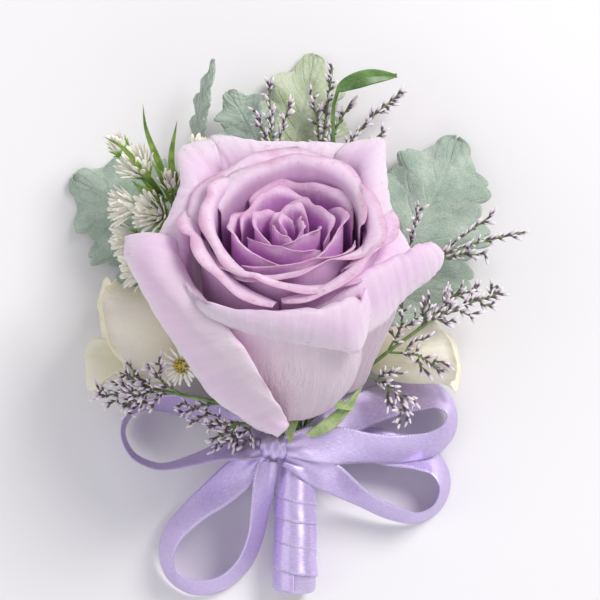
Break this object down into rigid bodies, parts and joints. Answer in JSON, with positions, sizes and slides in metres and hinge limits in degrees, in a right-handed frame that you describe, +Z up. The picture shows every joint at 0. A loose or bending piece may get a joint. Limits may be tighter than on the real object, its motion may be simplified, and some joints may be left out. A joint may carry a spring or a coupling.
{
  "type": "boutonniere",
  "caption": "Boutonniere of a lilac rose with felted leaves, small white asters, cream lisianthus and sea lavender, its stems bound in satin ribbon and tied with a small bow.",
  "frame": {"origin": "under the middle of the whole object, on the surface that it lies on", "axes": "+Y from the handle's cut end to the leaf tips, +Z up from the surface through the rose, +X to the right seen from above"},
  "size_m": [0.1148, 0.1394, 0.078],
  "materials": {
    "rose_outer": "soft matt petal, pale lilac pink with fine veins",
    "rose_middle": "soft matt petal, lilac, paler at the rolled margin",
    "rose_inner": "soft matt petal, deep mauve in the folds",
    "stem_green": "green stem, slightly waxy",
    "leaf_green": "green leaf, semi-gloss with a midrib",
    "miller_felt": "felted silver-green leaf, matt and woolly",
    "aster_white": "white ray petals round a yellow-green middle",
    "lisianthus_cream": "cream petal, soft and a little translucent",
    "sea_lavender": "green stems with dry white and mauve florets",
    "ribbon_satin": "single-face satin ribbon with a stitched edge"
  },
  "bodies": {
    "root": {"aster_head_1": "aster_white", "aster_head_2": "aster_white", "aster_head_3": "aster_white", "aster_head_4": "aster_white", "aster_head_5": "aster_white", "aster_head_6": "aster_white", "aster_head_7": "aster_white", "aster_head_8": "aster_white", "aster_stem": "stem_green", "bow_knot": "ribbon_satin", "bow_loop_left_lower": "ribbon_satin", "bow_loop_left_upper": "ribbon_satin", "bow_loop_right_lower": "ribbon_satin", "bow_loop_right_upper": "ribbon_satin", "calyx": "leaf_green", "core_petal_1": "rose_inner", "core_petal_2": "rose_inner", "daisy_head": "aster_white", "daisy_stem": "stem_green", "guard_petal_back": "rose_outer", "guard_petal_front": "rose_outer", "guard_petal_left": "rose_outer", "guard_petal_left_back": "rose_outer", "guard_petal_right": "rose_outer", "guard_petal_right_back": "rose_outer", "handle_wrap": "ribbon_satin", "inner_petal_1": "rose_inner", "inner_petal_2": "rose_inner", "inner_petal_3": "rose_inner", "inner_petal_4": "rose_inner", "inner_petal_5": "rose_inner", "inner_petal_6": "rose_inner", "inner_petal_7": "rose_inner", "inner_petal_8": "rose_inner", "lisianthus_petal_left_1": "lisianthus_cream", "lisianthus_petal_left_2": "lisianthus_cream", "lisianthus_petal_left_3": "lisianthus_cream", "lisianthus_petal_right_1": "lisianthus_cream", "lisianthus_petal_right_2": "lisianthus_cream", "lisianthus_stem_left": "stem_green", "lisianthus_stem_right": "stem_green", "middle_petal_1": "rose_middle", "middle_petal_2": "rose_middle", "middle_petal_3": "rose_middle", "middle_petal_4": "rose_middle", "middle_petal_5": "rose_middle", "middle_petal_6": "rose_middle", "miller_leaf_edge": "miller_felt", "miller_leaf_left": "miller_felt", "miller_leaf_right": "miller_felt", "miller_leaf_top": "miller_felt", "miller_leaf_top_left": "miller_felt", "rose_stem": "stem_green", "ruscus_leaf": "leaf_green", "sea_lavender_left": "sea_lavender", "sea_lavender_left_low": "sea_lavender", "sea_lavender_right_high": "sea_lavender", "sea_lavender_right_low": "sea_lavender", "sea_lavender_top_left": "sea_lavender", "sea_lavender_top_right": "sea_lavender"}
  },
  "joints": []
}
